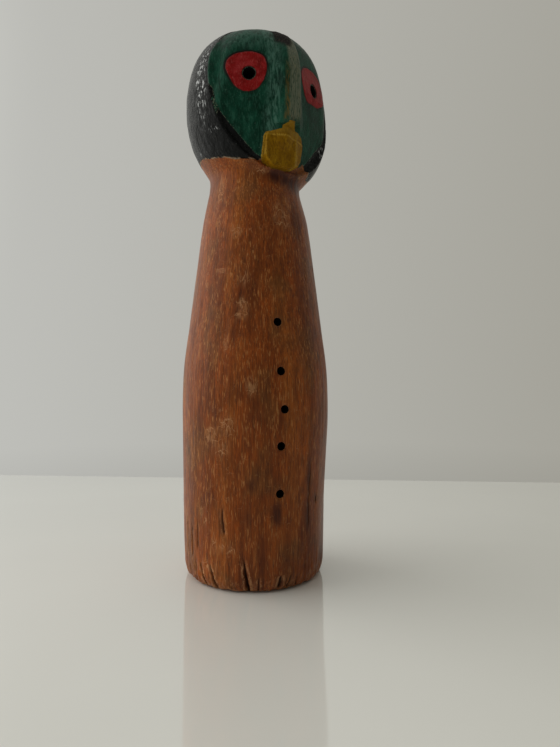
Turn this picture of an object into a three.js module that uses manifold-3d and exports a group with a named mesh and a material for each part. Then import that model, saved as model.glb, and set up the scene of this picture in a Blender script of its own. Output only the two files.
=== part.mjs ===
// Hand-carved wooden figurine: one block of wood with a tapered body, a waisted neck and a round head,
// a face cut back from the front into two cheeks, a nose ridge and a beak block, drilled pupils and a
// column of drilled buttons. The head is painted, and every coat of paint is a thin solid of its own.
// Millimetres, +Z up, origin at the centre of the base, the front of the figure towards -Y.

import * as THREE from "three";
import { mergeVertices } from "three/addons/utils/BufferGeometryUtils.js";
import Module from "manifold-3d";

const wasm = await Module();
wasm.setup();

// ---------------------------------------------------------------- driving dimensions

const HEIGHT = 216.5;
const BASE_RADIUS = 24.6; // flat that the figure stands on, inside the rounded lower edge
const BELLY = { radius: 30, height: 68 };
const NECK = { radius: 18.5, height: 157.2 };
const HEAD = { radius: 28.95, height: 188 };

const PAINT_THICKNESS = 0.5;
const GAP = 0.3; // kept between a coat and its neighbours, and between a coat and the wood

const SIDE_AZIMUTH = 65; // degrees from the front towards +X: the side that the jaw sags to
const JAW_SLOPE = 0.1; // fall of the jaw line towards that side
const PAINT_EDGE_HEIGHT = 163.6; // lower edge of the painted head, on the axis
const PAINT_EDGE_SLOPE = 0.08;

const FACE_AZIMUTH = 4; // degrees: the face looks slightly to +X
const RIM_FORWARD = 11; // the rim of the face lies this far in front of the axis at the crown
const RIM_BEND_HEIGHT = 208; // below this height the rim curves forward to the chin
const RIM_BEND = 0.0039;
const CHEEK_TURN = 30; // degrees between the middle of the face and each cheek's normal
const CHEEK_DISTANCE = 25.9; // from the axis to the cheek plane at the eyes
const CHEEK_FALL = 0.21; // the cheeks slope back towards the chin
const EYE_HEIGHT = 192.8;
const EYE_SPACING = 28.1;
const EYE_SHIFT = 0.5; // the eyes are centred this far to +X of the middle of the face
const NOSE = { forward: 29.3, offset: 1.5, halfWidth: 2.2, flankTurn: 38, tipHeight: 176, undercut: 1.45 };
const BEAK = { forward: 22.8, halfWidth: 7.8, bottom: 158.9, shoulder: 164, top: 171.4 };

const PUPIL = { diameter: 4.8, depth: 8 };
const BUTTON = { diameter: 3.2, depth: 6 };
const LINING = 0.45; // wall of the black lining inside each drilled hole
const BUTTONS = [
  { azimuth: -4.8, height: 100.4 },
  { azimuth: -3.8, height: 82.1 },
  { azimuth: -1.2, height: 68 },
  { azimuth: -3.7, height: 54.4 },
  { azimuth: -4.1, height: 36.7 },
];

// Half outline of the figure, from the edge of the flat base up to the crown: radius, height.
const OUTLINE = [
  [BASE_RADIUS, 0],
  [27, 0.8],
  [28.2, 3.6],
  [28.6, 10],
  [29, 34],
  [BELLY.radius, BELLY.height],
  [29.4, 84],
  [27.35, 99.5],
  [24.1, 124],
  [21.5, 142.6],
  [20, 149.7],
  [NECK.radius + 0.5, NECK.height - 3.4],
  [NECK.radius, NECK.height],
  [18.8, 159.6],
  [20.7, 162.3],
  [24, 166.6],
  [26.9, 172.5],
  [28.7, 180.5],
  [HEAD.radius, HEAD.height],
  [28.3, 196],
  [26.7, 203],
  [23.6, 209.1],
  [19.2, HEIGHT - 3.2],
  [11, HEIGHT - 0.5],
  [0, HEIGHT],
];

// How far the middle of each level leans towards SIDE_AZIMUTH: height, lean.
const LEAN = [
  [0, -0.5],
  [30, -0.6],
  [60, 0],
  [153, 0],
  [160, -0.4],
  [168, 0.3],
  [180, 0.8],
  [192, 0.4],
  [HEIGHT, 0.3],
];

// Outlines of the two eye patches, in millimetres from each pupil: towards the viewer's right, up.
const EYE_LEFT = [
  [-8, 1.8],
  [-5.8, 6.4],
  [0, 8.3],
  [5.2, 6.6],
  [6.1, 1],
  [4.6, -4.4],
  [0.8, -6.8],
  [-4.8, -3.2],
];
const EYE_RIGHT = [
  [-8.4, 3],
  [-6.4, 7.2],
  [-1.2, 8.4],
  [4, 6.6],
  [7.4, 2],
  [7, -3.4],
  [3.6, -6.2],
  [-2, -5.6],
  [-7, -2.8],
];

const COLUMNS = 40;
const FRONT_CROWDING = 0.45; // 0 spaces the columns evenly; towards 1 they crowd to the front
const BODY_ROW = 15; // height of a row of faces below the neck
const HEAD_ROW = 3.3;
const HOLE_SIDES = 18;

// ---------------------------------------------------------------- small helpers

const radians = THREE.MathUtils.degToRad;
const smoothstep = (x, low, high) => THREE.MathUtils.smoothstep(x, low, high);

function blendMin(a, b, width) {
  const t = THREE.MathUtils.clamp(0.5 + (0.5 * (b - a)) / width, 0, 1);
  return b * (1 - t) + a * t - width * t * (1 - t);
}

const blendMax = (a, b, width) => -blendMin(-a, -b, width);

function interpolate(table, at) {
  const next = table.findIndex(([key]) => key >= at);
  if (next <= 0) return table[next < 0 ? table.length - 1 : 0][1];
  const [low, lowValue] = table[next - 1];
  const [high, highValue] = table[next];
  return lowValue + ((highValue - lowValue) * (at - low)) / (high - low);
}

// A horizontal unit vector at an azimuth in degrees, 0 at the front and positive towards +X.
function heading(azimuth) {
  return new THREE.Vector3(Math.sin(radians(azimuth)), -Math.cos(radians(azimuth)), 0);
}

const UP = new THREE.Vector3(0, 0, 1);
const SIDE = heading(SIDE_AZIMUTH);
const FACE_OUT = heading(FACE_AZIMUTH);
const FACE_RIGHT = heading(FACE_AZIMUTH + 90);

// ---------------------------------------------------------------- the carved surface

const outlineCurve = new THREE.CatmullRomCurve3(
  OUTLINE.map(([radius, height]) => new THREE.Vector3(radius, height, 0)),
  false,
  "centripetal",
);

// How far in front of the axis the rim of the face lies at a height.
function rimForward(height) {
  const below = Math.max(RIM_BEND_HEIGHT - height, 0);
  return RIM_FORWARD + RIM_BEND * below * below;
}

// Distance from the axis to a vertical plane whose normal is turned by `turn` from the middle of the face,
// seen at an angle from the middle.
const planeRadius = (distance, angle, turn) => distance / Math.max(Math.cos(Math.abs(angle) - turn), 0.2);

// Radius of the two cheeks, which meet in the middle of the face.
function cheekRadius(angle, radius, height) {
  const flattening = 0.9 + 0.08 * smoothstep(height, 198, 212);
  const atEyes = CHEEK_DISTANCE - (190 - height) * CHEEK_FALL;
  const cheek = planeRadius(Math.min(flattening * radius, atEyes), angle, radians(CHEEK_TURN));
  const rimStep = 0.6 + 0.4 * smoothstep(212 - height, 0, 12) + 0.6 * smoothstep(195 - height, 0, 25);
  return blendMin(radius - rimStep, cheek, 1);
}

// Radius of the nose ridge: a flat front between two steep flanks, cut back below its tip.
function noseRadius(angle, radius, height) {
  const turned = angle - Math.asin(NOSE.offset / NOSE.forward);
  const belowTip = Math.max(NOSE.tipHeight - height, 0);
  const proud = 0.9 - 1.2 * smoothstep(height, 198, 213);
  const forward = Math.max(Math.min(NOSE.forward, radius + proud) - belowTip * NOSE.undercut, 0);
  const flankTurn = radians(NOSE.flankTurn);
  const flank = forward * Math.cos(flankTurn) + NOSE.halfWidth * Math.sin(flankTurn);
  return blendMin(planeRadius(forward, turned, 0), planeRadius(flank, turned, flankTurn), 0.6);
}

// Radius of the whole figure at an azimuth, where the turned outline has a given radius and height.
function carvedRadius(azimuth, radius, height) {
  const turned = azimuth - radians(FACE_AZIMUTH);
  const angle = Math.atan2(Math.sin(turned), Math.cos(turned));
  const forward = radius * Math.cos(angle);
  const inFace = smoothstep(forward - rimForward(height), -1.2, 1.2) * smoothstep(height, 159, 163);
  if (inFace === 0) return radius;
  const face = blendMax(cheekRadius(angle, radius, height), noseRadius(angle, radius, height), 0.5);
  return THREE.MathUtils.lerp(radius, face, inFace);
}

function surfacePoint(azimuth, along) {
  const { x: radius, y: height } = outlineCurve.getPoint(THREE.MathUtils.clamp(along, 0, 1));
  const carved = carvedRadius(azimuth, radius, height);
  const point = new THREE.Vector3(carved * Math.sin(azimuth), -carved * Math.cos(azimuth), height);
  const jaw = smoothstep(height, 140, 158) * (1 - smoothstep(height, 168, 196));
  point.z -= JAW_SLOPE * point.dot(SIDE) * jaw;
  return point.addScaledVector(SIDE, interpolate(LEAN, height));
}

// The same point sunk by `depth` along the surface's own normal.
function sunkPoint(azimuth, along, depth) {
  const point = surfacePoint(azimuth, along);
  if (depth === 0) return point;
  if (along >= 1) return point.addScaledVector(UP, -depth);
  const step = 0.001;
  const across = surfacePoint(azimuth + step, along).sub(surfacePoint(azimuth - step, along));
  const upwards = surfacePoint(azimuth, along + step).sub(surfacePoint(azimuth, Math.max(along - step, 0)));
  return point.addScaledVector(across.cross(upwards).normalize(), -depth);
}

// Where each row of faces lies along the outline: long rows on the body, short ones from the neck up.
function rowPlaces() {
  const places = [];
  const spans = OUTLINE.length - 1;
  for (let span = 0; span < spans; span += 1) {
    const [fromRadius, fromHeight] = OUTLINE[span];
    const [toRadius, toHeight] = OUTLINE[span + 1];
    const row = fromHeight < 142 ? BODY_ROW : HEAD_ROW;
    const rows = Math.ceil(Math.hypot(toRadius - fromRadius, toHeight - fromHeight) / row);
    for (let step = 0; step < rows; step += 1) places.push((span + step / rows) / spans);
  }
  return places;
}

// ---------------------------------------------------------------- solids

// A closed manifold solid from any closed geometry, without the flat triangles left at a lathe's poles.
function solidFrom(geometry) {
  const bare = geometry.clone();
  bare.deleteAttribute("normal");
  bare.deleteAttribute("uv");
  const merged = mergeVertices(bare, 1e-4);
  const index = merged.index.array;
  const triangles = [];
  for (let at = 0; at < index.length; at += 3) {
    const [a, b, c] = [index[at], index[at + 1], index[at + 2]];
    if (a !== b && b !== c && c !== a) triangles.push(a, b, c);
  }
  const mesh = new wasm.Mesh({
    numProp: 3,
    vertProperties: new Float32Array(merged.attributes.position.array),
    triVerts: new Uint32Array(triangles),
  });
  return new wasm.Manifold(mesh);
}

// The whole figure, sunk by a depth, as a lathe whose every vertex is carved into place.
function figure(depth) {
  const places = rowPlaces();
  const rings = [new THREE.Vector2(0, 0), ...places.map((_, ring) => new THREE.Vector2(1, ring + 1))];
  rings.push(new THREE.Vector2(0, places.length + 1));
  const lathe = new THREE.LatheGeometry(rings, COLUMNS);
  const position = lathe.attributes.position;
  for (let column = 0; column <= COLUMNS; column += 1) {
    const turn = ((column % COLUMNS) / COLUMNS) * 2 * Math.PI;
    const azimuth = turn - FRONT_CROWDING * Math.sin(turn);
    rings.forEach((_, ring) => {
      const vertex = column * rings.length + ring;
      const base = new THREE.Vector3(0, 0, depth);
      const point = ring === 0 ? base : sunkPoint(azimuth, places[ring - 1] ?? 1, depth);
      if (ring === 1) point.z = depth;
      position.setXYZ(vertex, point.x, point.y, point.z);
    });
  }
  return solidFrom(lathe);
}

// A shape extruded from `from` to `to` along `out`, its x axis laid along `right` and its y axis upright.
function prism(shape, right, out, from, to) {
  const geometry = new THREE.ExtrudeGeometry(shape, { depth: to - from, bevelEnabled: false, curveSegments: 5 });
  geometry.applyMatrix4(new THREE.Matrix4().makeBasis(right, UP, out));
  geometry.translate(out.x * from, out.y * from, 0);
  return solidFrom(geometry);
}

// A drill of a given radius, pointing in along an azimuth, from outside the figure down to `innerRadius`.
function drill(azimuth, height, radius, innerRadius, shift = 0) {
  const length = 40 - innerRadius;
  const geometry = new THREE.CylinderGeometry(radius, radius, length, HOLE_SIDES);
  const out = heading(azimuth);
  geometry.applyQuaternion(new THREE.Quaternion().setFromUnitVectors(new THREE.Vector3(0, 1, 0), out));
  const middle = out.clone().multiplyScalar(innerRadius + length / 2);
  middle.addScaledVector(heading(azimuth + 90), shift);
  geometry.translate(middle.x, middle.y, height);
  return solidFrom(geometry);
}

// Everything above the sloping lower edge of the paint, moved up by `lift`.
function abovePaintEdge(lift) {
  const size = 200;
  const box = new THREE.BoxGeometry(size, size, size);
  box.translate(0, 0, size / 2);
  const normal = new THREE.Vector3(0, 0, 1).addScaledVector(SIDE, PAINT_EDGE_SLOPE).normalize();
  box.applyQuaternion(new THREE.Quaternion().setFromUnitVectors(UP, normal));
  box.translate(0, 0, PAINT_EDGE_HEIGHT + lift);
  return solidFrom(box);
}

// Everything in front of the rim of the face, with the rim moved forward by `shift`.
function beforeRim(shift) {
  const side = new THREE.Shape();
  const top = HEIGHT + 10;
  const bottom = BEAK.bottom - 10;
  side.moveTo(50, bottom);
  side.lineTo(50, top);
  side.lineTo(RIM_FORWARD + shift, top);
  const steps = 8;
  for (let step = 0; step <= steps; step += 1) {
    const height = THREE.MathUtils.lerp(RIM_BEND_HEIGHT, bottom, step / steps);
    side.lineTo(rimForward(height) + shift, height);
  }
  return prism(side, FACE_OUT, FACE_RIGHT.clone().negate(), -45, 45);
}

// A closed smooth outline through points, grown outwards by `grow`.
function smoothOutline(points, grow) {
  const vectors = points.map(([x, y]) => new THREE.Vector3(x, y, 0));
  const curve = new THREE.CatmullRomCurve3(vectors, true, "centripetal");
  const middle = vectors.reduce((sum, vector) => sum.add(vector), new THREE.Vector3()).divideScalar(points.length);
  const grown = curve.getPoints(points.length * 2).slice(0, -1);
  grown.forEach((point) => point.addScaledVector(point.clone().sub(middle).normalize(), grow));
  return new THREE.Shape(grown.map(({ x, y }) => new THREE.Vector2(x, y)));
}

// How far a pupil lies to the viewer's right of the middle of the face.
const pupilShift = (side) => side * (EYE_SPACING / 2) + EYE_SHIFT;

// Eye patch zone on one side: -1 is the viewer's left, +1 the viewer's right.
function eyeZone(side, grow) {
  const outline = side < 0 ? EYE_LEFT : EYE_RIGHT;
  const placed = outline.map(([right, up]) => [pupilShift(side) + right, EYE_HEIGHT + up]);
  return prism(smoothOutline(placed.reverse(), grow), FACE_RIGHT, FACE_OUT, 8, 45);
}

// Beak zone: a block with a round bottom, and the nib that rises to the tip of the nose.
function beakZone(grow) {
  const half = BEAK.halfWidth + grow;
  const bottom = BEAK.bottom - grow;
  const top = BEAK.top + grow;
  const nibHalf = 4 + grow;
  const nibTip = NOSE.tipHeight + grow;
  const shape = new THREE.Shape();
  shape.moveTo(-half, top);
  shape.lineTo(-half, BEAK.shoulder);
  shape.quadraticCurveTo(-half, bottom, 0, bottom);
  shape.quadraticCurveTo(half, bottom, half, BEAK.shoulder);
  shape.lineTo(half, top);
  shape.lineTo(NOSE.offset + nibHalf, top);
  shape.lineTo(NOSE.offset + 1.2, nibTip);
  shape.lineTo(NOSE.offset - 1.2, nibTip);
  shape.lineTo(NOSE.offset - nibHalf, top);
  return prism(shape, FACE_RIGHT, FACE_OUT, 8, 45);
}

// The beak block itself, from inside the head out to its flat front, sunk by a depth.
function beakBlock(depth) {
  const half = BEAK.halfWidth - depth;
  const bottom = BEAK.bottom + depth;
  const top = BEAK.top - depth;
  const front = BEAK.forward - depth;
  const shape = new THREE.Shape();
  shape.moveTo(-half, top);
  shape.lineTo(-half, BEAK.shoulder);
  shape.quadraticCurveTo(-half, bottom, 0, bottom);
  shape.quadraticCurveTo(half, bottom, half, BEAK.shoulder);
  shape.lineTo(half, top);
  return prism(shape, FACE_RIGHT, FACE_OUT, 10, front);
}

// A pupil is drilled straight in along the face's own direction.
function pupilDrill(side, radius, innerRadius) {
  return drill(FACE_AZIMUTH, EYE_HEIGHT, radius, innerRadius, pupilShift(side));
}

// The lining of a drilled hole: a cup that ends flush with the carved surface.
const cup = (outer, inner, skin) => outer.intersect(skin).subtract(inner);

// ---------------------------------------------------------------- building the pieces

const skinSolid = figure(0).add(beakBlock(0));
const paintUnderside = figure(PAINT_THICKNESS).add(beakBlock(PAINT_THICKNESS));
const sunkWood = figure(PAINT_THICKNESS + GAP).add(beakBlock(PAINT_THICKNESS + GAP));
const coat = skinSolid.subtract(paintUnderside);

const PUPIL_SURFACE = 21; // distance of the carved surface from the axis plane, at the pupils
const pupilFloor = PUPIL_SURFACE - PUPIL.depth;

function buttonSurface(height) {
  const levels = OUTLINE.map(([radius, level]) => [level, radius]);
  return interpolate(levels, height);
}

function carvedWood() {
  const painted = abovePaintEdge(-GAP).add(beakZone(GAP));
  let wood = sunkWood.add(skinSolid.subtract(painted));
  for (const side of [-1, 1]) {
    wood = wood.subtract(pupilDrill(side, PUPIL.diameter / 2 + GAP, pupilFloor - GAP));
  }
  for (const { azimuth, height } of BUTTONS) {
    const floor = buttonSurface(height) - BUTTON.depth;
    wood = wood.subtract(drill(azimuth, height, BUTTON.diameter / 2 + GAP, floor - GAP));
  }
  return wood;
}

function hoodPaint() {
  return coat.intersect(abovePaintEdge(0)).subtract(beforeRim(-GAP / 2)).subtract(beakZone(GAP));
}

function facePaint() {
  let paint = coat.intersect(abovePaintEdge(0)).intersect(beforeRim(GAP / 2));
  paint = paint.subtract(beakZone(GAP));
  return paint.subtract(eyeZone(-1, GAP)).subtract(eyeZone(1, GAP));
}

function eyePaint(side) {
  return coat.intersect(eyeZone(side, 0)).subtract(pupilDrill(side, PUPIL.diameter / 2 + GAP, 0));
}

const beakPaint = () => coat.intersect(beakZone(0));

function pupilLining(side) {
  const outer = pupilDrill(side, PUPIL.diameter / 2, pupilFloor);
  return cup(outer, pupilDrill(side, PUPIL.diameter / 2 - LINING, pupilFloor + LINING), skinSolid);
}

function buttonLining({ azimuth, height }) {
  const floor = buttonSurface(height) - BUTTON.depth;
  const outer = drill(azimuth, height, BUTTON.diameter / 2, floor);
  return cup(outer, drill(azimuth, height, BUTTON.diameter / 2 - LINING, floor + LINING), skinSolid);
}

// ---------------------------------------------------------------- materials and the assembly

const finish = (color, roughness) => new THREE.MeshStandardMaterial({ color, roughness, metalness: 0 });

const WOOD = finish(0x8a4a22, 0.5);
const HOOD_BLACK = finish(0x26272a, 0.35);
const FACE_GREEN = finish(0x12493a, 0.45);
const EYE_RED = finish(0xa8242a, 0.5);
const BEAK_YELLOW = finish(0x9a7a12, 0.55);
const HOLE_BLACK = finish(0x0c0b0a, 0.8);

function meshFrom(name, solid, material) {
  const { vertProperties, triVerts } = solid.getMesh();
  const geometry = new THREE.BufferGeometry();
  geometry.setAttribute("position", new THREE.BufferAttribute(new Float32Array(vertProperties), 3));
  geometry.setIndex(new THREE.BufferAttribute(new Uint32Array(triVerts), 1));
  geometry.computeVertexNormals();
  const mesh = new THREE.Mesh(geometry, material);
  mesh.name = name;
  return mesh;
}

const figurine = new THREE.Group();
figurine.add(meshFrom("carved_wood_body", carvedWood(), WOOD));
figurine.add(meshFrom("black_hood_paint", hoodPaint(), HOOD_BLACK));
figurine.add(meshFrom("green_face_paint", facePaint(), FACE_GREEN));
figurine.add(meshFrom("red_eye_paint_left", eyePaint(-1), EYE_RED));
figurine.add(meshFrom("red_eye_paint_right", eyePaint(1), EYE_RED));
figurine.add(meshFrom("yellow_beak_paint", beakPaint(), BEAK_YELLOW));
figurine.add(meshFrom("pupil_black_left", pupilLining(-1), HOLE_BLACK));
figurine.add(meshFrom("pupil_black_right", pupilLining(1), HOLE_BLACK));
BUTTONS.forEach((button, place) => {
  figurine.add(meshFrom(`button_black_${place + 1}`, buttonLining(button), HOLE_BLACK));
});

export default figurine;
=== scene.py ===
import itertools
import math

import bmesh
import bpy
import numpy as np
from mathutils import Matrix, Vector


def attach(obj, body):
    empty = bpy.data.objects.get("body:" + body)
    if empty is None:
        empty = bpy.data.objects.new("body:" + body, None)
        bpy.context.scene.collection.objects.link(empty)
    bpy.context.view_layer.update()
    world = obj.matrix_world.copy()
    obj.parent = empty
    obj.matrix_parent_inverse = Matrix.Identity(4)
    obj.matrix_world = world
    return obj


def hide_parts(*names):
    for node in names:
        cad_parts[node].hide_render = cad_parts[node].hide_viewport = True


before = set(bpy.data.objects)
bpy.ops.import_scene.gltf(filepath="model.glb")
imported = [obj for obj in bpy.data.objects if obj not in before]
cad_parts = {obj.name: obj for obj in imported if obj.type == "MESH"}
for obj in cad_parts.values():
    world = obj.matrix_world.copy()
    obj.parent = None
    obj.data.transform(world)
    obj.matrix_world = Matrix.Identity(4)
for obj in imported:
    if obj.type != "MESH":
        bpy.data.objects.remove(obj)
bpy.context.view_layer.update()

# The looks of a hand-carved, painted wooden figurine. Shapes are worked out in millimetres on one carved
# surface, whose points are placed by an azimuth (0 at the front, towards -Y, positive towards +X) and an
# arc length measured up the figure's half outline, and are turned to metres when a mesh is made.

MM = 0.001

# ------------------------------------------------------------------ driving dimensions, millimetres

HEIGHT = 216.5
HALF_OUTLINE = [  # radius, height
    (24.6, 0), (27, 0.8), (28.2, 3.6), (28.6, 10), (29, 34), (30, 68), (29.4, 84), (27.35, 99.5),
    (24.1, 124), (21.5, 142.6), (20, 149.7), (19, 153.8), (18.5, 157.2), (18.8, 159.6), (20.7, 162.3),
    (24, 166.6), (26.9, 172.5), (28.7, 180.5), (28.95, 188), (28.3, 196), (26.7, 203), (23.6, 209.1),
    (19.2, HEIGHT - 3.2), (11, HEIGHT - 0.5), (0, HEIGHT),
]
SIDE_AZIMUTH = 65  # the figure leans, and its jaw slopes down, towards this side
LEAN = [  # height, shift
    (0, -0.5), (30, -0.6), (60, 0), (153, 0), (160, -0.4), (168, 0.3), (180, 0.8), (192, 0.4), (HEIGHT, 0.3),
]
JAW_SLOPE = 0.1
PAINT_EDGE = [  # azimuth, height
    (-160, 167.8), (-93, 167), (-77, 165.5), (-56, 164.1), (-43, 163.1), (-26, 162.7), (-18, 163),
    (20, 162.8), (35, 163.4), (40, 165.2), (48, 162.8), (56, 160.8), (66, 160.8), (78, 163), (90, 165),
    (130, 167.4),
]

FACE_AZIMUTH = 4
RIM_FORWARD = 11
RIM_BEND_HEIGHT = 208
RIM_BEND = 0.0039
RIM_BEND_LOSS = 0.0009  # the rim bends forward less on the viewer's right
CHEEK_TURN = 30
CHEEK_DISTANCE = 25.9
CHEEK_FALL = 0.21
EYE_HEIGHT = 192.8
EYE_SPACING = 28.1
EYE_SHIFT = 0.5
EYE_LEFT = [  # sideways and height from the pupil
    (-7.6, 2.6), (-6.5, 6), (-3.4, 8.1), (1.5, 8.5), (5, 6.8), (6.1, 3.4), (5.3, -1.6), (2.8, -5.9),
    (-1, -6.6), (-4.6, -4.7), (-6.8, -1.3),
]
EYE_RIGHT = [
    (-8.2, 0.5), (-7.9, 4.2), (-5.4, 7.2), (-0.1, 8.4), (3.8, 7.8), (6.9, 5.4), (7.8, 1.5), (7.6, -2),
    (4, -5), (-1.2, -5.8), (-4.2, -6), (-6.8, -3.6),
]
NOSE_FORWARD = 29.3
NOSE_OFFSET = 1.5
NOSE_HALF_WIDTH = 2.2
NOSE_FLANK_TURNS = {-1: 36, 1: 52}  # least angle of the flank on each side, in degrees
NOSE_FLANK_GAIN = 1.4  # degrees steeper for each millimetre below the eyes, until the angle stays the same
NOSE_TIP_HEIGHT = 175.2
NOSE_UNDERCUT = 5.2
BEAK_FORWARD = 22.8
BEAK_OUTLINE = [  # sideways, height
    (-7, 164.4), (-6, 162.6), (-4.3, 161.2), (-2.6, 160.5), (3.6, 160.4), (7, 161.7), (9.5, 163.5),
    (10.3, 165.2), (10.4, 170.6), (9, 173.2), (6.4, 174), (-1, 173.5), (-6.4, 172.3), (-7, 171),
]
BEAK_CORNER = 5.6  # the front of the beak turns back beyond this sideways place
BEAK_CORNER_SLOPE = 0.5
BEAK_EDGE = 171.6  # and above this height
BEAK_EDGE_SLOPE = 0.6
BEAK_WALL_SLOPE = 7

PUPIL_TURN = 26
PUPIL_RADIUS = 2.4
PUPIL_DEPTH = 8
HOLE_SEGMENTS = 56
BUTTON_RADIUS = 1.6
BUTTON_DEPTH = 6
BUTTONS = [(-4.8, 100.4), (-3.8, 82.1), (-1.2, 68), (-3.7, 54.4), (-4.1, 36.7)]  # azimuth, height

MARK_GIRTH = 28.5  # radius at which the widths of marks on the body are measured
HEAD_GIRTH = 28.7  # radius at which the columns of a paint film are spaced
PAINT_BED = 0.42  # the wood lies this deep under its paint
WOOD_COLUMNS = 392
FAR = 99  # stands for a distance beyond any zone

# ------------------------------------------------------------------ numbers and noise


def smoothstep(x, low, high):
    t = np.clip((x - low) / (high - low), 0, 1)
    return t * t * (3 - 2 * t)


def blend_min(a, b, width):
    t = np.clip(0.5 + 0.5 * (b - a) / width, 0, 1)
    return b * (1 - t) + a * t - width * t * (1 - t)


def blend_max(a, b, width):
    return -blend_min(-a, -b, width)


def lattice(cell, seed):
    """A repeatable value from -1 to 1 for each whole-numbered point, from a hash with large odd numbers."""
    x, y, z = cell[..., 0], cell[..., 1], cell[..., 2]
    mixed = x * 73856093 ^ y * 19349663 ^ z * 83492791 ^ (seed + 1) * 2654435761
    mixed = (mixed ^ (mixed >> 13)) & 0x7FFFFFFF
    mixed = (mixed * 1274126177) & 0x7FFFFFFF
    mixed = (mixed ^ (mixed >> 16)) & 0xFFFFFF
    return mixed / 0x7FFFFF - 1


def noise(points, seed=0):
    """Smooth noise from -1 to 1 whose bumps are about one unit across."""
    cell = np.floor(points).astype(np.int64)
    part = points - cell
    ease = part * part * (3 - 2 * part)
    total = np.zeros(points.shape[:-1])
    for corner in itertools.product((0, 1), repeat=3):
        weight = np.prod(np.where(corner, ease, 1 - ease), axis=-1)
        total += weight * lattice(cell + np.array(corner), seed)
    return total


def layered_noise(points, seed=0, layers=3):
    return sum(noise(points * 2**n, seed + n) / 2**n for n in range(layers)) / (2 - 2 ** (1 - layers))


# ------------------------------------------------------------------ the carved surface


def spline(points, steps, closed=False):
    """A centripetal Catmull-Rom curve through points, as a polyline."""
    knots = [np.array(p, float) for p in points]
    count = len(knots)
    path = []
    for at in range(count if closed else count - 1):
        if closed:
            p0, p1, p2, p3 = (knots[(at + shift) % count] for shift in (-1, 0, 1, 2))
        else:
            p1, p2 = knots[at], knots[at + 1]
            p0 = knots[at - 1] if at else 2 * p1 - p2
            p3 = knots[at + 2] if at + 2 < count else 2 * p2 - p1
        t0 = 0.0
        t1 = t0 + np.linalg.norm(p1 - p0) ** 0.5
        t2 = t1 + np.linalg.norm(p2 - p1) ** 0.5
        t3 = t2 + np.linalg.norm(p3 - p2) ** 0.5
        for step in range(steps):
            t = t1 + (t2 - t1) * step / steps
            a1 = ((t1 - t) * p0 + (t - t0) * p1) / (t1 - t0)
            a2 = ((t2 - t) * p1 + (t - t1) * p2) / (t2 - t1)
            a3 = ((t3 - t) * p2 + (t - t2) * p3) / (t3 - t2)
            b1 = ((t2 - t) * a1 + (t - t0) * a2) / (t2 - t0)
            b2 = ((t3 - t) * a2 + (t - t1) * a3) / (t3 - t1)
            path.append(((t2 - t) * b1 + (t - t1) * b2) / (t2 - t1))
    if not closed:
        path.append(knots[-1])
    return np.array(path)


def inside_polygon(x, y, polygon):
    """Distance inside a closed polygon, negative outside."""
    ends = np.roll(polygon, -1, axis=0)
    nearest = np.full(x.shape, np.inf)
    inside = np.zeros(x.shape, bool)
    for (ax, ay), (bx, by) in zip(polygon, ends):
        ex, ey = bx - ax, by - ay
        t = np.clip(((x - ax) * ex + (y - ay) * ey) / (ex * ex + ey * ey), 0, 1)
        nearest = np.minimum(nearest, np.hypot(x - ax - t * ex, y - ay - t * ey))
        crosses = (ay > y) != (by > y)
        with np.errstate(divide="ignore", invalid="ignore"):
            inside ^= crosses & (x < ax + (y - ay) / (by - ay) * ex)
    return np.where(inside, nearest, -nearest)


OUTLINE_PATH = spline(HALF_OUTLINE, 24)
OUTLINE_PATH[-1] = (0, HEIGHT)
OUTLINE_ARC = np.concatenate([[0], np.cumsum(np.linalg.norm(np.diff(OUTLINE_PATH, axis=0), axis=1))])
CROWN = OUTLINE_ARC[-1]


def heading(azimuth):
    """The horizontal unit vector at an azimuth in degrees."""
    return np.array([math.sin(math.radians(azimuth)), -math.cos(math.radians(azimuth)), 0.0])


SIDE = heading(SIDE_AZIMUTH)
FACE_OUT = heading(FACE_AZIMUTH)
FACE_RIGHT = heading(FACE_AZIMUTH + 90)
BEAK_PATH = np.array(BEAK_OUTLINE)


def outline_at(arc):
    """Radius and height on the turned outline."""
    arc = np.clip(arc, 0, CROWN)
    return tuple(np.interp(arc, OUTLINE_ARC, OUTLINE_PATH[:, axis]) for axis in (0, 1))


def arc_at_height(height):
    return float(np.interp(height, OUTLINE_PATH[:, 1], OUTLINE_ARC))


def rim_forward(height, sideways):
    """How far in front of the axis the rim of the face lies."""
    bend = RIM_BEND - RIM_BEND_LOSS * smoothstep(sideways, 4, 14)
    return RIM_FORWARD + bend * np.clip(RIM_BEND_HEIGHT - height, 0, None) ** 2


def plane_radius(distance, angle, turn):
    """Radius of a pair of vertical planes, turned to both sides of the middle of the face."""
    return distance / np.maximum(np.cos(np.abs(angle) - math.radians(turn)), 0.2)


def cheek_radius(angle, radius, height):
    flattening = 0.9 + 0.08 * smoothstep(height, 198, 212)
    at_eyes = CHEEK_DISTANCE - (190 - height) * CHEEK_FALL
    cheek = plane_radius(np.minimum(flattening * radius, at_eyes), angle, CHEEK_TURN)
    rim_step = 0.6 + 0.4 * smoothstep(212 - height, 0, 12) + 0.6 * smoothstep(195 - height, 0, 25)
    return blend_min(radius - rim_step, cheek, 0.8)


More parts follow.
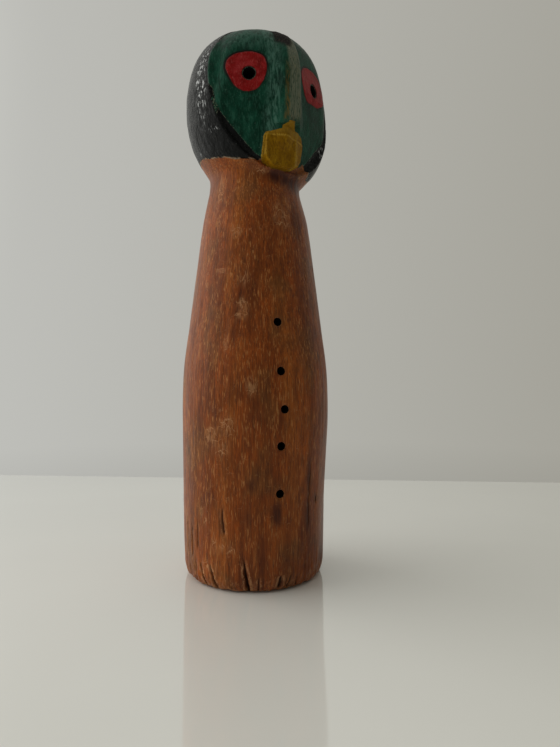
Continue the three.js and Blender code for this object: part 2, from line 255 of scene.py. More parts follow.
def nose_radius(angle, radius, height):
    """The nose: a narrow flat front, flanks that steepen downwards, gentler on the left, and a cut tip."""
    turned = angle - math.asin(NOSE_OFFSET / NOSE_FORWARD)
    tip = NOSE_TIP_HEIGHT + JAW_SLOPE * NOSE_FORWARD * (FACE_OUT @ SIDE) - 0.5
    below_tip = np.clip(tip - height, 0, None)
    proud = 0.9 - 1.2 * smoothstep(height, 198, 213)
    forward = np.clip(np.minimum(NOSE_FORWARD, radius + proud) - below_tip * NOSE_UNDERCUT, 0, None)
    nose = plane_radius(forward, turned, 0)
    at_height = NOSE_FLANK_TURNS[-1] + NOSE_FLANK_GAIN * np.clip(190 - height, 0, 18)
    for side, least in NOSE_FLANK_TURNS.items():
        turn = np.radians(np.maximum(at_height, least))
        flank = forward * np.cos(turn) + NOSE_HALF_WIDTH * np.sin(turn)
        away = np.cos(turned - side * turn)
        nose = blend_min(nose, np.where(away > 0.2, flank / np.maximum(away, 0.2), flank / 0.2), 0.3)
    return nose


def beak_radius(angle, height):
    """The beak block: cut to its outline, with a front that turns away at one side and at its top."""
    sideways = BEAK_FORWARD * np.tan(np.clip(angle, -1.2, 1.2))
    level = height - JAW_SLOPE * (BEAK_FORWARD * (FACE_OUT @ SIDE) + sideways * (FACE_RIGHT @ SIDE))
    outside = np.clip(-inside_polygon(sideways, level, BEAK_PATH), 0, None)
    forward = BEAK_FORWARD - BEAK_CORNER_SLOPE * np.clip(sideways - BEAK_CORNER, 0, None)
    forward = forward - BEAK_EDGE_SLOPE * np.clip(level - BEAK_EDGE, 0, None) - BEAK_WALL_SLOPE * outside
    return np.where(np.cos(angle) > 0.35, forward / np.maximum(np.cos(angle), 0.35), 0)


def carved_radius(azimuth, radius, height):
    """Radius of the whole figure, where the turned outline has a given radius and height."""
    turned = azimuth - math.radians(FACE_AZIMUTH)
    angle = np.arctan2(np.sin(turned), np.cos(turned))
    forward = radius * np.cos(angle)
    face = blend_max(cheek_radius(angle, radius, height), nose_radius(angle, radius, height), 0.3)
    before_rim = forward - rim_forward(height, radius * np.sin(angle))
    in_face = smoothstep(before_rim, -0.45, 0.55) * smoothstep(height, 159, 163)
    carved = radius + (face - radius) * in_face
    near = (height > 150) & (height < 182) & (np.abs(angle) < 0.75)
    block = np.zeros(carved.shape)
    block[near] = beak_radius(angle[near], height[near])
    return np.where(near, blend_max(carved, block, 0.2), carved)


def knife_flats(azimuth, height):
    """How deep the shallow flats left by the knife lie: long on the body, short on the head."""
    turns = azimuth / (2 * math.pi)
    points = np.stack([np.cos(azimuth) * 1.5, np.sin(azimuth) * 1.5, height / 45], axis=-1)
    wander = 0.35 * noise(points, 11)
    body = np.abs(((turns * 13 + wander * 1.6) % 1) * 2 - 1) ** 2
    bands = np.abs(((height / 13 + turns * 3 + wander) % 1) * 2 - 1) ** 2
    on_head = smoothstep(height, 150, 168)
    return 0.1 * (1 - body) + 0.1 * (1 - bands) * on_head


def surface(azimuth, arc):
    """Points of the smooth carved figure."""
    radius, height = outline_at(arc)
    carved = carved_radius(azimuth, radius, height)
    off_crown = smoothstep(radius, 2, 14)
    carved = carved - knife_flats(azimuth, height) * off_crown
    points = np.stack([carved * np.sin(azimuth), -carved * np.cos(azimuth), height], axis=-1)
    jaw = smoothstep(height, 140, 158) * (1 - smoothstep(height, 168, 196))
    points[..., 2] -= JAW_SLOPE * (points @ SIDE) * jaw
    lean = np.interp(height, *zip(*LEAN))
    return points + lean[..., None] * SIDE


def surface_normal(azimuth, arc):
    """Outward normals, from short steps along the surface."""
    step = 0.06
    turn = step / np.maximum(outline_at(arc)[0], 1.0)
    across = surface(azimuth + turn, arc) - surface(azimuth - turn, arc)
    upward = surface(azimuth, np.minimum(arc + step, CROWN)) - surface(azimuth, arc - step)
    normal = np.cross(across, upward)
    length = np.linalg.norm(normal, axis=-1, keepdims=True)
    normal = normal / np.maximum(length, 1e-9)
    at_crown = (arc > CROWN - 0.4)[..., None]
    return np.where(at_crown, np.array([0.0, 0.0, 1.0]), normal)


def in_face_frame(points):
    """Sideways, forward and height, seen from the middle of the face."""
    return points @ FACE_RIGHT, points @ FACE_OUT, points[..., 2]


def find_mouth(sideways, height, front):
    """The surface point, and its normal, at a sideways distance and a height, seen from an azimuth."""
    azimuth = np.radians(np.linspace(-75, 75, 3001))
    arc = np.full(azimuth.shape, arc_at_height(height))
    for _ in range(5):
        arc = arc + height - surface(azimuth, arc)[:, 2]
    points = surface(azimuth, arc)
    nearest = np.argmin(np.abs(points @ heading(front + 90) - sideways))
    return points[nearest], surface_normal(azimuth, arc)[nearest]


# ------------------------------------------------------------------ painted zones: distance inside an edge


def wobble(points, size, seed):
    """Slow unevenness along a painted edge."""
    return layered_noise(points / size, seed, 3)


def head_zone(points):
    """Above the lower edge of the paint."""
    azimuth = np.degrees(np.arctan2(points[..., 0], -points[..., 1]))
    edge = points[..., 2] - np.interp(azimuth, *zip(*PAINT_EDGE), period=360)
    return edge * 1.2 + 0.25 * wobble(points, 3.2, 21) + 0.25 * wobble(points, 0.9, 22)


def rim_zone(points):
    """In front of the carved rim of the face."""
    sideways, forward, height = in_face_frame(points)
    return (forward - rim_forward(height, sideways)) / 0.87 + 0.25 * wobble(points, 3.5, 31)


def pupil_place(side):
    """Sideways place of a pupil: side is -1 on the viewer's left and 1 on the right."""
    return side * EYE_SPACING / 2 + EYE_SHIFT


PUPIL_AXES = {side: heading(FACE_AZIMUTH + side * PUPIL_TURN) for side in (-1, 1)}
PUPIL_MOUTHS = {side: find_mouth(pupil_place(side), EYE_HEIGHT, FACE_AZIMUTH) for side in (-1, 1)}


def outside_pupils(points):
    """Distance outside the nearer drilled pupil."""
    nearest = np.full(points.shape[:-1], float(FAR))
    for side, axis in PUPIL_AXES.items():
        away = points - PUPIL_MOUTHS[side][0]
        along = away @ axis
        far = np.sqrt(np.maximum((away**2).sum(axis=-1) - along**2, 0))
        nearest = np.where(along > -12, np.minimum(nearest, far - PUPIL_RADIUS), nearest)
    return nearest


def eye_path(side, outline):
    """The closed edge of an eye patch, sideways and in height."""
    return spline([(x + pupil_place(side), z + EYE_HEIGHT) for x, z in outline], 6, closed=True)


EYE_PATHS = {-1: eye_path(-1, EYE_LEFT), 1: eye_path(1, EYE_RIGHT)}


def eye_zone(points, side):
    sideways, forward, height = in_face_frame(points)
    inside = inside_polygon(sideways, height, EYE_PATHS[side])
    return np.where(forward > 5, inside + 0.16 * wobble(points, 1.6, 41), -FAR)


def beak_zone(points):
    """The front and walls of the beak block, and the cut tip of the nose above it."""
    sideways, forward, height = in_face_frame(points)
    block = inside_polygon(sideways, height, BEAK_PATH) + 0.4
    back = forward - BEAK_FORWARD + 1.3
    tip = np.minimum(sideways + 2.6 - 0.28 * back, 6.6 - 0.6 * back - sideways)
    tip = np.minimum(np.minimum(tip, NOSE_TIP_HEIGHT + 0.35 - height), height - 172)
    tip = np.minimum(tip, back + 0.8)
    zone = np.maximum(block, tip) + 0.14 * wobble(points, 1.4, 51)
    return np.where(forward > 5, zone, -FAR)


# ------------------------------------------------------------------ marks in the wood

# Splits and cracks that run up the grain: azimuth, lowest point, height, width, depth, sideways lean.
SPLITS = [
    (-26.6, 0.4, 13, 1.7, 2.2, -1.9),
    (-63.5, 1.2, 9, 1.3, 1.2, -2.9),
    (-53.6, 0.8, 9.5, 1.3, 1.4, -2.4),
    (-45.2, 22.3, 9.5, 0.85, 0.7, -0.9),
    (-2.6, 1.2, 5.2, 1.9, 1.0, 0.3),
    (1.8, 1.0, 4.6, 0.8, 0.7, 0.9),
    (4.4, 1.2, 5.2, 0.7, 0.6, 1.2),
    (-19, 0.5, 6, 0.9, 0.6, 0.2),
    (13, 1.0, 4.5, 0.7, 0.5, -0.2),
    (23.5, 24, 24, 0.7, 0.5, 0.4),
    (33.8, 31, 3, 1.1, 0.5, 0),
    (-87, 12, 14, 0.9, 0.5, 0.2),
    (-79, 12, 11, 0.8, 0.5, 0.2),
    (-70.6, 15, 11, 0.7, 0.4, -0.2),
    (-74, 2, 7, 0.8, 0.6, -0.2),
    (95, 0.4, 11, 1.1, 1.3, 0.5),
    (128, 1, 7, 0.9, 0.9, -0.4),
    (171, 0.3, 17, 1.3, 1.8, 0.8),
    (-152, 0.8, 9, 1.0, 1.0, 0.4),
    (-118, 2, 6, 0.8, 0.7, -0.3),
    (152, 38, 21, 0.7, 0.5, 0.5),
    (-163, 84, 16, 0.6, 0.4, -0.4),
    (66, 70, 12, 0.6, 0.4, 0.3),
]

# Shallow nicks with raised or bruised edges: azimuth, height, half width, half height, depth.
NICKS = [
    (51.7, 124, 0.5, 1.2, 0.35), (57.7, 113.2, 0.4, 1.8, 0.35), (-66.5, 29, 0.9, 1.5, 0.3),
    (-62.6, 25.6, 0.6, 1.4, 0.25), (-24.8, 40.2, 0.9, 2.2, 0.18), (-42, 134, 1.3, 1.7, 0.12),
    (128, 92, 0.8, 1.4, 0.3), (-140, 61, 0.7, 1.9, 0.3), (175, 118, 0.6, 1.3, 0.25),
]

# Rubbed, paler patches, and a painted highlight on the neck (the entry at -66, 152): azimuth, height, half
# width, half height, strength.
RUBS_AND_HIGHLIGHTS = [
    (-25.5, 76.6, 2.2, 4, 0.75), (-56.4, 58, 3.2, 3.6, 0.7), (-43, 61.8, 4.5, 4.5, 0.4),
    (-48, 54, 5, 4, 0.35), (-34, 105, 3.6, 5, 0.5), (-45.7, 92.6, 1.3, 4, 0.45),
    (-41.5, 134.9, 3.5, 2.6, 0.5), (-31.8, 116.6, 2.6, 3.4, 0.5), (-55.5, 120, 3.5, 0.7, 0.6),
    (5, 141.7, 6.5, 7, 0.35), (14, 148, 4, 4, 0.3), (-45, 16.5, 6, 2.2, 0.4), (-54, 18, 1.4, 5, 0.45),
    (-66.5, 29, 1.3, 2, 0.9), (-62.6, 25.7, 0.9, 1.7, 0.9), (-60, 9, 5, 3, 0.3), (-15, 159.6, 4, 1.5, 0.35),
    (40, 162, 2.6, 1.3, 0.35), (0.7, 4.2, 4, 2.4, 0.3), (118, 132, 5, 9, 0.4), (-150, 96, 6, 8, 0.4),
    (160, 60, 5, 7, 0.4), (88, 30, 4, 6, 0.35), (-110, 120, 4, 6, 0.35), (-95, 74, 5, 8, 0.3),
    (45, 133, 5, 6, 0.25), (-66, 152, 3.4, 6, 0.35), (-88, 20, 3, 8, 0.3),
]

# Darker stains in the grain, and painted shadow under the beak and the jaw (the two entries near 158.5
# height): azimuth, height, half width, half height, strength.
STAINS_AND_SHADOW = [
    (-5, 29, 2.2, 6, 0.85), (23, 26, 3, 9, 0.75), (23, 45, 1.6, 14, 0.7), (34, 32.4, 1.6, 1.8, 0.7),
    (45.6, 9.5, 3.5, 6, 0.5), (-18, 14.8, 2, 9, 0.35), (35.3, 87.8, 0.8, 2.6, 0.6),
    (-24.8, 40.2, 2.2, 3.4, 0.45), (15, 12, 12, 9, 0.35), (20, 18, 5, 9, 0.4), (-47.2, 27, 1.6, 7, 0.4),
    (-30, 6, 2.5, 7, 0.4), (-2.6, 3.6, 2.6, 3.2, 0.65), (30, 112, 7, 16, 0.25), (40, 60, 5, 22, 0.3),
    (36, 158.5, 13, 5, 0.95), (10, 158.8, 14, 3.8, 0.95), (150, 20, 8, 14, 0.4), (-135, 16, 7, 10, 0.4),
    (98, 100, 4, 22, 0.35), (-170, 140, 7, 14, 0.3),
]


def along_grain(azimuth, height, mark_azimuth, lean=0.0, low=0.0, tall=1.0):
    """Sideways distance in millimetres from a mark, which may lean as it rises."""
    turned = azimuth - math.radians(mark_azimuth)
    turned = np.arctan2(np.sin(turned), np.cos(turned))
    return turned * MARK_GIRTH - lean * (height - low) / tall


def oval(azimuth, height, place, level, half_width, half_height):
    """Distance from the middle of an oval mark, which is 1 at its edge."""
    return np.hypot(along_grain(azimuth, height, place) / half_width, (height - level) / half_height)


def split_depth(azimuth, height, points):
    """Depth of every split, the painted shade at its bottom, and the painted highlight along its lips."""
    depth = np.zeros(azimuth.shape)
    dark = np.zeros(azimuth.shape)
    lip_highlights = np.zeros(azimuth.shape)
    ragged = 0.45 * layered_noise(points * np.array([0.45, 0.45, 0.4]), 61, 2)
    for place, low, tall, width, deep, lean in SPLITS:
        sideways = along_grain(azimuth, height, place, lean, low, tall) + ragged
        rise = (height - low) / tall
        taper = np.clip(1 - np.clip(rise, 0, 2), 0, 1) ** 0.6 * smoothstep(rise, -0.12, 0.08)
        half = width * (0.35 + 0.65 * taper) * 0.65
        shape = np.clip(1 - np.abs(sideways) / half, 0, 1)
        depth = np.maximum(depth, deep * taper * smoothstep(shape, 0, 0.9))
        # Painted shade: each split is darkened towards its deepest middle.
        dark = np.maximum(dark, smoothstep(shape, 0.15, 0.75) * smoothstep(taper, 0.05, 0.4))
        # Painted highlight: a pale strip along each side of a split.
        lip = 1 - smoothstep(np.abs(np.abs(sideways) - half - 0.35), 0.1, 0.6)
        lip_highlights = np.maximum(lip_highlights, lip * smoothstep(taper, 0.05, 0.4) * min(width - 0.6, 0.8))
    return depth, dark, lip_highlights


def spots(azimuth, height, marks):
    """The strongest of several soft oval marks, from 0 to 1."""
    total = np.zeros(azimuth.shape)
    for *shape, strength in marks:
        total = np.maximum(total, strength * (1 - smoothstep(oval(azimuth, height, *shape), 0.25, 1.25)))
    return total


# ------------------------------------------------------------------ meshes


def new_object(name, vertices, faces, material, attributes=None):
    """A mesh object in metres from points in millimetres, with its material and point attributes."""
    mesh = bpy.data.meshes.new(name)
    mesh.from_pydata((np.asarray(vertices) * MM).tolist(), [], [list(face) for face in faces])
    for key, values in (attributes or {}).items():
        attribute = mesh.attributes.new(key, "FLOAT", "POINT")
        attribute.data.foreach_set("value", np.asarray(values, np.float32))
    mesh.materials.append(material)
    mesh.shade_smooth()
    mesh.update()
    made = bpy.data.objects.new(name, mesh)
    bpy.context.scene.collection.objects.link(made)
    return made


def crowded(count, crowding):
    """Azimuths all round, closer together at the front."""
    turn = np.linspace(0, 2 * math.pi, count, endpoint=False)
    return turn - crowding * np.sin(turn)


def levels_between(*spans):
    """Arc lengths of rows from spans of (lowest height, highest height, spacing)."""
    parts = []
    for low, high, step in spans:
        start, end = arc_at_height(low), arc_at_height(high)
        parts.append(np.linspace(start, end, max(int((end - start) / step), 1), endpoint=False))
    return np.concatenate([*parts, [arc_at_height(spans[-1][1])]])


def grid_quads(rows, columns, wrap):
    """Index quads of a grid whose faces point outwards, with the last column joined to the first."""
    row = np.arange(rows - 1)[:, None]
    column = np.arange(columns if wrap else columns - 1)[None, :]
    beside = (column + 1) % columns
    lower, upper = row * columns, (row + 1) * columns
    corners = np.broadcast_arrays(lower + column, lower + beside, upper + beside, upper + column)
    return np.stack(corners, axis=-1).reshape(-1, 4)


def film(name, zone, turns, levels, spacing, thickness, lip, sink, relief, material, attributes):
    """A closed film over the part of the surface where zone is positive.

    turns is its first and last azimuth in degrees, and levels are the arc lengths of its rows. Its edge is
    moved onto the zone's own edge and thins to nothing over the lip. Its under-side lies sink deep.
    relief and each of the attributes are worked out from the points of the surface.
    """
    edge_share = 0.35 * spacing
    first, last = turns
    wrap = last - first >= 360
    columns = int(math.radians(last - first) * HEAD_GIRTH / spacing)
    azimuth = np.radians(np.linspace(first, last, columns, endpoint=not wrap))
    rows = len(levels)
    azimuth, arc = (a.copy() for a in np.meshgrid(azimuth, levels))
    azimuth, arc = azimuth.ravel(), arc.ravel()
    inside = zone(surface(azimuth, arc))
    quads = grid_quads(rows, columns, wrap)
    kept = quads[(inside[quads] > edge_share).any(axis=1)]

    used = np.unique(kept)
    edge = used[inside[used] < edge_share]
    for _ in range(3):
        here, step = surface(azimuth[edge], arc[edge]), 0.05
        value = zone(here)
        radius = np.maximum(np.hypot(here[:, 0], here[:, 1]), 2)
        by_turn = (zone(surface(azimuth[edge] + step / radius, arc[edge])) - value) / step
        by_arc = (zone(surface(azimuth[edge], arc[edge] + step)) - value) / step
        steepness = np.maximum(by_turn**2 + by_arc**2, 0.2)
        azimuth[edge] -= np.clip(value * by_turn / steepness, -spacing, spacing) / radius
        arc[edge] -= np.clip(value * by_arc / steepness, -spacing, spacing)

    place = np.full(azimuth.size, -1)
    at_crown = used[arc[used] > CROWN - 1e-6]
    place[used] = np.arange(used.size)
    if at_crown.size:
        place[at_crown] = place[at_crown[0]]
    azimuth, arc = azimuth[used], arc[used]
    base = surface(azimuth, arc)
    normal = surface_normal(azimuth, arc)
    depth_in = np.clip(zone(base), 0, None)
    rise = thickness * smoothstep(depth_in, -0.02, lip) + relief(base) * smoothstep(depth_in, 0, lip * 2)
    top = base + normal * rise[:, None]
    bottom = base - normal * sink

    faces = []
    sides = {}
    for quad in place[kept].tolist():
        face = [v for n, v in enumerate(quad) if v != quad[n - 1]]
        if len(face) < 3:
            continue
        faces.append(face)
        for n, v in enumerate(face):
            sides[(face[n - 1], v)] = True
    count = used.size
    walls = [(b, a, a + count, b + count) for a, b in sides if (b, a) not in sides]
    under = [[v + count for v in reversed(face)] for face in faces]
    values = {key: np.tile(make(base, depth_in), 2) for key, make in attributes.items()}
    made = new_object(name, np.concatenate([top, bottom]), faces + under + walls, material, values)
    drop_loose(made)
    return made


def drop_loose(made):
    """Removes points that no face uses."""
    mesh = made.data
    used = np.zeros(len(mesh.vertices), bool)
    corners = np.empty(len(mesh.loops), np.int32)
    mesh.loops.foreach_get("vertex_index", corners)
    used[corners] = True
    if used.all():
        return
    work = bmesh.new()
    work.from_mesh(mesh)
    work.verts.ensure_lookup_table()
    bmesh.ops.delete(work, geom=[v for v in work.verts if not used[v.index]], context="VERTS")
    work.to_mesh(mesh)
    work.free()


def drilled(name, out, mouth, radius, depth, flare):
    """The closed shape that a drill removes, with a point at its bottom and a worn, flared mouth."""
    reach = rim_reach(out, mouth, radius)
    rings = [(0, -depth - radius * 0.6), (radius, -depth), (radius, reach - flare * 2),
             (radius + flare * 0.35, reach - flare * 0.8), (radius + flare, reach + 0.1),
             (radius + flare * 2.5, reach + 1.2), (radius + flare * 2.5, 5), (0, 5)]
    return revolve(name, out, mouth[0], rings, MATERIALS["hole"])


def lining(name, out, mouth, radius, depth, recess):
    """Black paint on the wall and floor of a drilled hole: a thin closed cup."""
    reach = rim_reach(out, mouth, radius)
    outer, inner = radius - 0.03, radius - 0.26
    rings = [(0, -depth - radius * 0.6 + 0.05), (outer, -depth), (outer, reach - recess),
             (inner, reach - recess - 0.15), (inner, -depth + 0.25), (0, -depth - radius * 0.6 + 0.35)]
    return revolve(name, out, mouth[0], rings, MATERIALS["hole"])


def ring_directions(out):
    """Directions round an axis."""
    right = np.cross([0, 0, 1], out)
    up = np.cross(out, right)
    turn = np.linspace(0, 2 * math.pi, HOLE_SEGMENTS, endpoint=False)
    return np.outer(np.cos(turn), right) + np.outer(np.sin(turn), up)


def rim_reach(out, mouth, radius):
    """How far along out each point of a hole's rim lies on the surface."""
    normal = mouth[1]
    return -(ring_directions(out) @ normal) * radius / (out @ normal)


def revolve(name, out, centre, rings, material):
    """A closed shape from rings of (radius, distance along out), with a point at each end."""
    directions = ring_directions(out)
    vertices = []
    for radius, along in rings[1:-1]:
        along = np.broadcast_to(along, (HOLE_SEGMENTS,))
        vertices.extend(centre + directions * radius + np.outer(along, out))
    vertices.append(centre + out * rings[0][1])
    vertices.append(centre + out * rings[-1][1])
    faces = []
    for ring in range(len(rings) - 3):
        for n in range(HOLE_SEGMENTS):
            a = ring * HOLE_SEGMENTS + n
            b = ring * HOLE_SEGMENTS + (n + 1) % HOLE_SEGMENTS
            faces.append((a, b, b + HOLE_SEGMENTS, a + HOLE_SEGMENTS))
    start, end = len(vertices) - 2, len(vertices) - 1
    last = (len(rings) - 3) * HOLE_SEGMENTS
    for n in range(HOLE_SEGMENTS):
        faces.append((start, (n + 1) % HOLE_SEGMENTS, n))
        faces.append((end, last + n, last + (n + 1) % HOLE_SEGMENTS))
    return new_object(name, vertices, faces, material)


# ------------------------------------------------------------------ materials


def grey(level):
    return (level, level, level, 1.0)


def rgb(red, green, blue):
    """A linear colour from screen values of 0 to 255."""
    def linear(v):
        v /= 255
        return v / 12.92 if v <= 0.04045 else ((v + 0.055) / 1.055) ** 2.4
    return (linear(red), linear(green), linear(blue), 1.0)


class Nodes:
    """Short calls for building the nodes of a material or of the world."""

    def __init__(self, owner, coordinates="Object"):
        owner.use_nodes = True
        self.owner = owner
        self.tree = owner.node_tree
        self.place = self.add("ShaderNodeTexCoord").outputs[coordinates]

    def add(self, kind, inputs=None, **settings):
        """A node with its settings, and with a value or a link for each named or numbered input."""
        node = self.tree.nodes.new(kind)
        for key, value in settings.items():
            setattr(node, key, value)
        self.fill(node, inputs or {})
        return node

    def fill(self, node, inputs):
        for key, value in inputs.items():
            if isinstance(value, bpy.types.NodeSocket):
                self.tree.links.new(value, node.inputs[key])
            else:
                node.inputs[key].default_value = value

    def value(self, name):
        return self.add("ShaderNodeAttribute", attribute_name=name).outputs["Fac"]

    def noise(self, per_mm, detail, roughness, distortion=0.0, rotation=(0, 0, 0), shift=(0, 0, 0)):
        """Noise whose bumps are about 1 / per_mm millimetres long along each axis."""
        placed = self.add("ShaderNodeMapping", {
            "Vector": self.place, "Scale": [p * 1000 for p in per_mm],
            "Rotation": [math.radians(r) for r in rotation], "Location": shift,
        })
        node = self.add("ShaderNodeTexNoise", {
            "Vector": placed.outputs["Vector"], "Scale": 1.0, "Detail": detail, "Roughness": roughness,
            "Distortion": distortion,
        })
        return node.outputs["Fac"]

    def ramp(self, factor, stops):
        """Colours or grey levels along a factor, from stops of (place, colour)."""
        node = self.add("ShaderNodeValToRGB", {"Fac": factor})
        elements = node.color_ramp.elements
        while len(elements) < len(stops):
            elements.new(0.5)
        for element, (at, colour) in zip(elements, stops):
            element.position = at
            element.color = colour if isinstance(colour, tuple) else grey(colour)
        return node.outputs["Color"]

    def remap(self, value, low, high, at_low=0.0, at_high=1.0, shape="SMOOTHSTEP"):
        """at_low up to low and at_high from high on, with a smooth or a straight passage between them."""
        node = self.add("ShaderNodeMapRange", {
            "Value": value, "From Min": low, "From Max": high, "To Min": at_low, "To Max": at_high,
        }, interpolation_type=shape)
        return node.outputs["Result"]

    def band(self, factor, low, high):
        """0 below low and 1 above high, or the other way round if low is the larger."""
        if low > high:
            return self.remap(factor, high, low, 1.0, 0.0)
        return self.remap(factor, low, high)

    def math(self, operation, a, b=0.0):
        return self.add("ShaderNodeMath", {0: a, 1: b}, operation=operation).outputs[0]

    def times(self, a, b):
        return self.math("MULTIPLY", a, b)

    def most(self, a, b):
        return self.math("MAXIMUM", a, b)

    def mix(self, factor, a, b, blend="MIX"):
        node = self.add("ShaderNodeMix", data_type="RGBA", blend_type=blend)
        self.fill(node, {"Factor": factor, "A": a, "B": b})
        return node.outputs["Result"]

    def tint(self, base, colour, *shares):
        """base turned towards a colour by the product of one or two shares."""
        share = shares[0] if len(shares) == 1 else self.times(*shares)
        return self.mix(share, base, colour)

    def bumps(self, *layers):
        """A normal from layers of (height, depth in millimetres, strength), the undermost first."""
        inputs = {}
        for height, depth, strength in layers:
            inputs.update({"Height": height, "Distance": depth * MM, "Strength": strength})
            inputs["Normal"] = self.add("ShaderNodeBump", inputs).outputs["Normal"]
        return inputs["Normal"]

    def finish(self, colour, roughness, normal, specular, ior=1.5, coat=0.0, coat_roughness=0.2):
        self.fill(self.tree.nodes["Principled BSDF"], {
            "Base Color": colour, "Roughness": roughness, "Normal": normal, "Specular IOR Level": specular,
            "IOR": ior, "Coat Weight": coat, "Coat Roughness": coat_roughness,
        })
        return self.owner


def material_nodes(name):
    return Nodes(bpy.data.materials.new(name))


def wood_material():
    """Reddish brown varnished wood: mottled bands, fibres and pores up the grain, scratches across it."""
    n = material_nodes("varnished_wood")
    bands = n.noise((0.12, 0.12, 0.009), 2, 0.5, 0.6)
    blotches = n.noise((0.13, 0.13, 0.05), 3, 0.6, shift=(7, 3, 1))
    dull = n.noise((0.06, 0.06, 0.035), 3, 0.55, shift=(4, 4, 9))
    olive = n.noise((0.07, 0.07, 0.045), 3, 0.6, shift=(1, 8, 5))
    streaks = n.noise((0.8, 0.8, 0.035), 4, 0.6, 0.4)
    fibres = n.noise((2.0, 2.0, 0.13), 4, 0.65)
    smear = n.noise((0.8, 0.8, 0.35), 4, 0.65, shift=(9, 4, 2))
    pores = n.noise((3.2, 3.2, 0.32), 2, 0.5, shift=(2, 9, 4))
    dashes = n.noise((2.5, 2.5, 0.3), 2, 0.5, shift=(6, 1, 7))
    patchy = n.noise((0.3, 0.3, 0.09), 3, 0.6, shift=(8, 2, 6))
    specks = n.noise((1.9, 1.9, 1.5), 3, 0.65, shift=(5, 5, 5))
    sparse = n.noise((0.24, 0.24, 0.2), 2, 0.5, shift=(3, 7, 2))
    crack_shade, stain_and_shadow, rub_and_highlight, worn = (n.value(name) for name in ("crack_shade", "stain_and_shadow", "rub_and_highlight", "worn"))

    colour = n.ramp(bands, [(0.3, rgb(110, 53, 13)), (0.5, rgb(127, 60, 13)), (0.7, rgb(142, 75, 23))])
    colour = n.tint(colour, rgb(142, 68, 13), n.band(blotches, 0.48, 0.72), 0.5)
    colour = n.tint(colour, rgb(114, 70, 30), n.band(olive, 0.48, 0.68), 0.65)
    colour = n.mix(1.0, colour, n.ramp(dull, [(0.3, 0.74), (0.5, 1.0), (0.7, 1.15)]), "MULTIPLY")
    colour = n.tint(colour, rgb(92, 42, 14), n.band(streaks, 0.46, 0.28), 0.45)
    colour = n.tint(colour, rgb(168, 104, 54), n.band(streaks, 0.55, 0.74), 0.4)
    fibre_shade = n.ramp(fibres, [(0.3, 0.54), (0.5, 1.0), (0.7, 1.6)])
    colour = n.mix(0.9, colour, fibre_shade, "MULTIPLY")
    colour = n.mix(1.0, colour, n.ramp(patchy, [(0.34, 0.82), (0.5, 1.0), (0.66, 1.18)]), "MULTIPLY")
    pore_mask = n.band(pores, 0.39, 0.32)
    colour = n.tint(colour, rgb(58, 22, 6), pore_mask, 0.55)
    dash_mask = n.times(n.band(dashes, 0.57, 0.66), n.band(patchy, 0.36, 0.56))
    colour = n.tint(colour, rgb(188, 130, 74), dash_mask, 0.6)
    # Dark stains in the grain, and painted shadow under the beak and jaw.
    ragged_stain_and_shadow = n.times(stain_and_shadow, n.band(streaks, 0.9, 0.48))
    colour = n.tint(colour, rgb(56, 18, 6), ragged_stain_and_shadow)

    broken = n.band(specks, 0.36, 0.52)
    scraped = n.times(n.band(rub_and_highlight, 0.06, 0.3), 0.8)
    scratch = None
    for turn, shift, share in ((35, 1, 1.0), (-40, 4, 0.8), (80, 9, 0.7)):
        path = n.noise((0.2, 0.2, 0.13), 1.5, 0.4, rotation=(turn, turn, 0), shift=(shift, 2, shift))
        off_path = n.math("ABSOLUTE", n.math("SUBTRACT", path, 0.5))
        part = n.noise((0.16, 0.16, 0.2), 2, 0.5, shift=(shift, shift, 6))
        rare = n.times(n.band(off_path, 0.008, 0.002), n.band(part, 0.58, 0.64))
        many = n.times(n.band(off_path, 0.014, 0.004), scraped)
        line = n.times(n.most(n.times(rare, 0.3), many), share)
        scratch = line if scratch is None else n.most(scratch, line)
    # Paler where rubbed, with painted highlights on the neck and along the lips of the splits.
    pale = n.times(n.times(rub_and_highlight, n.band(smear, 0.36, 0.66)), 0.75)
    chips = n.times(n.band(specks, 0.66, 0.7), n.band(sparse, 0.5, 0.62))
    pale = n.most(pale, n.times(chips, 0.5))
    pale = n.most(pale, n.times(scratch, broken))
    # Worn wood near the base, and painted light along the bottom edge.
    pale = n.most(pale, n.times(worn, n.band(specks, 0.42, 0.64)))
    colour = n.tint(colour, rgb(196, 144, 98), pale)
    # Painted shade: the splits and nicks are darkened almost to black.
    colour = n.tint(colour, rgb(24, 9, 4), crack_shade, 0.92)

    roughness = n.ramp(blotches, [(0.3, 0.32), (0.7, 0.44)])
    roughness = n.tint(roughness, grey(0.62), pale)
    roughness = n.tint(roughness, grey(0.85), crack_shade)
    grain = n.math("ADD", n.times(fibres, 0.6), n.times(streaks, 0.7))
    grain = n.math("SUBTRACT", grain, n.times(pore_mask, 0.5))
    grain = n.math("SUBTRACT", grain, n.times(scratch, 0.4))
    normal = n.bumps((grain, 0.2, 0.6), (specks, 0.16, 0.45))
    return n.finish(colour, roughness, normal, specular=0.44, ior=1.34)


